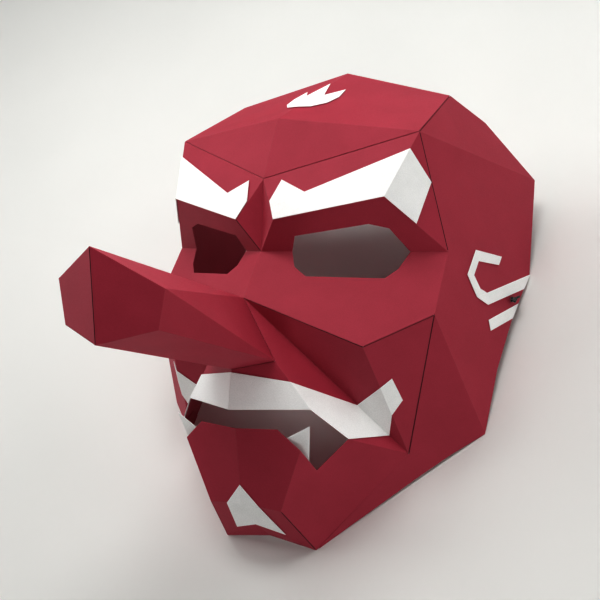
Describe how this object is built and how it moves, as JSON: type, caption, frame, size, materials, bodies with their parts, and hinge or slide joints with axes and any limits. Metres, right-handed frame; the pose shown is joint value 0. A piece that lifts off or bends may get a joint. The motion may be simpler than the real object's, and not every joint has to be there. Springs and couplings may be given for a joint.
{
  "type": "tengu mask",
  "caption": "Folded card tengu mask: faceted red face, long blunt nose, open eyes and mouth, white card eyebrows, lip, fangs, beard and ornaments, and an elastic cord across its hollow back.",
  "frame": {"origin": "centre of the bounding box in X and Y, on the surface that the mask lies on, at the lowest corners of its rim", "axes": "+Z out of the face, +Y towards the forehead, +X towards the mask's own left"},
  "size_m": [0.2378, 0.2901, 0.242],
  "materials": {
    "red_card": "matt red card, folded, with paler cut edges",
    "white_card": "matt white card",
    "black_elastic": "matt black braided elastic cord"
  },
  "bodies": {
    "root": {"forehead": "red_card", "face": "red_card", "nose": "red_card", "muzzle": "red_card", "jaw": "red_card", "eyebrow_left": "white_card", "eyebrow_right": "white_card", "lip": "white_card", "fang_left": "white_card", "fang_right": "white_card", "chin_patch": "white_card", "forehead_ornament": "white_card", "temple_curl_left": "white_card", "temple_curl_right": "white_card", "temple_bar_left": "white_card", "temple_bar_right": "white_card", "head_elastic": "black_elastic", "elastic_knot_left": "black_elastic", "elastic_knot_right": "black_elastic"}
  },
  "joints": []
}
